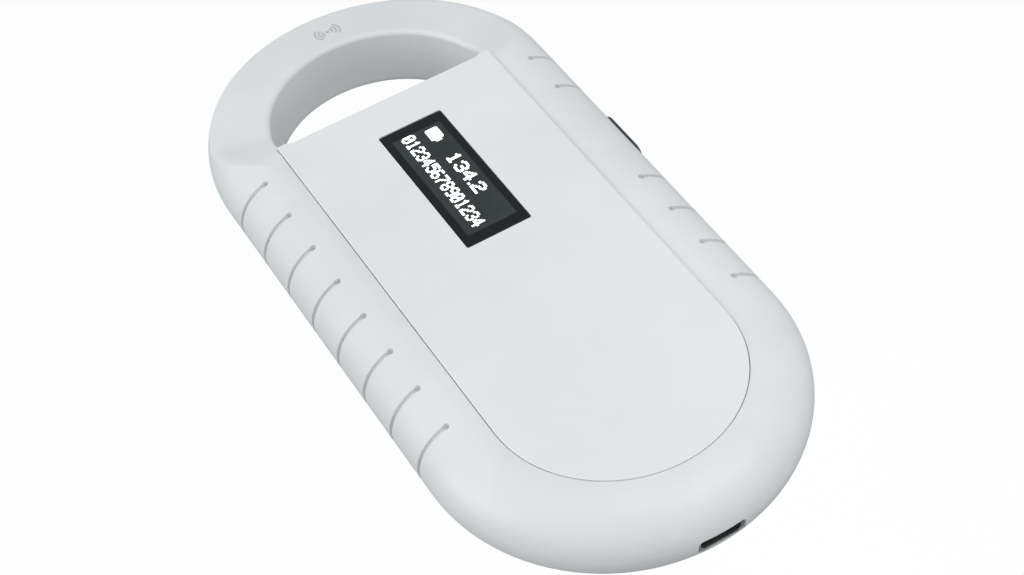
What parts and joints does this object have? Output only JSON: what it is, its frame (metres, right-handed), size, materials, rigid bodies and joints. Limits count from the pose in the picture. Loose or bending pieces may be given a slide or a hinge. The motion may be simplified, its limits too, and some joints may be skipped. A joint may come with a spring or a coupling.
{
  "type": "microchip scanner",
  "caption": "Flat handheld pet microchip reader with a ring antenna round a D-shaped opening, a small display, grip grooves, a side button and a charging socket.",
  "frame": {"origin": "middle of the footprint on the back face, with the scanner lying on its back", "axes": "+Z out of the display face, +Y along the body towards the antenna ring, +X towards the side button"},
  "size_m": [0.062, 0.132, 0.0156],
  "materials": {
    "shell_plastic": "satin",
    "panel_plastic": "satin",
    "adhesive": "soft tape",
    "smoked_lens": "polished",
    "foam": "matte",
    "display_glass": "polished",
    "flex_film": "satin",
    "black_plastic": "matte",
    "white_plastic": "matte",
    "button_rubber": "matte",
    "switch_metal": "satin",
    "socket_steel": "satin",
    "contact_gold": "polished",
    "board": "solder mask",
    "ceramic": "matte",
    "crystal_can": "satin",
    "battery_foil": "satin",
    "red_insulation": "satin",
    "black_insulation": "satin",
    "copper": "enamelled",
    "amber_tape": "gloss tape",
    "screw_steel": "satin"
  },
  "bodies": {
    "housing": {"top_shell": "shell_plastic", "bottom_shell": "shell_plastic", "face_panel": "panel_plastic", "panel_adhesive": "adhesive", "display_lens": "smoked_lens", "display_gasket": "foam", "oled_module": "display_glass", "oled_flex": "flex_film", "fpc_connector": "white_plastic", "display_holder": "black_plastic", "tact_switch": "switch_metal", "usb_socket_shell": "socket_steel", "usb_tongue": "black_plastic", "usb_contacts": "contact_gold", "main_pcb": "board", "mcu_chip": "black_plastic", "reader_chip": "black_plastic", "charger_chip": "black_plastic", "crystal": "crystal_can", "power_inductor": "black_plastic", "capacitors": "ceramic", "resistors": "black_plastic", "buzzer": "black_plastic", "battery_cell": "battery_foil", "battery_tape": "adhesive", "battery_header": "white_plastic", "battery_plug": "white_plastic", "battery_wire_red": "red_insulation", "battery_wire_black": "black_insulation", "antenna_coil": "copper", "coil_tape": "amber_tape", "coil_leads": "copper", "case_screws": "screw_steel", "pcb_screws": "screw_steel"},
    "button": {"side_button": "button_rubber", "switch_plunger": "white_plastic"}
  },
  "joints": [
    {"name": "button_press", "type": "slide", "parent": "housing", "child": "button", "axis": [-1, 0, 0], "range_m": [0, 0.0004], "stiffness_N_per_m": 3000}
  ]
}
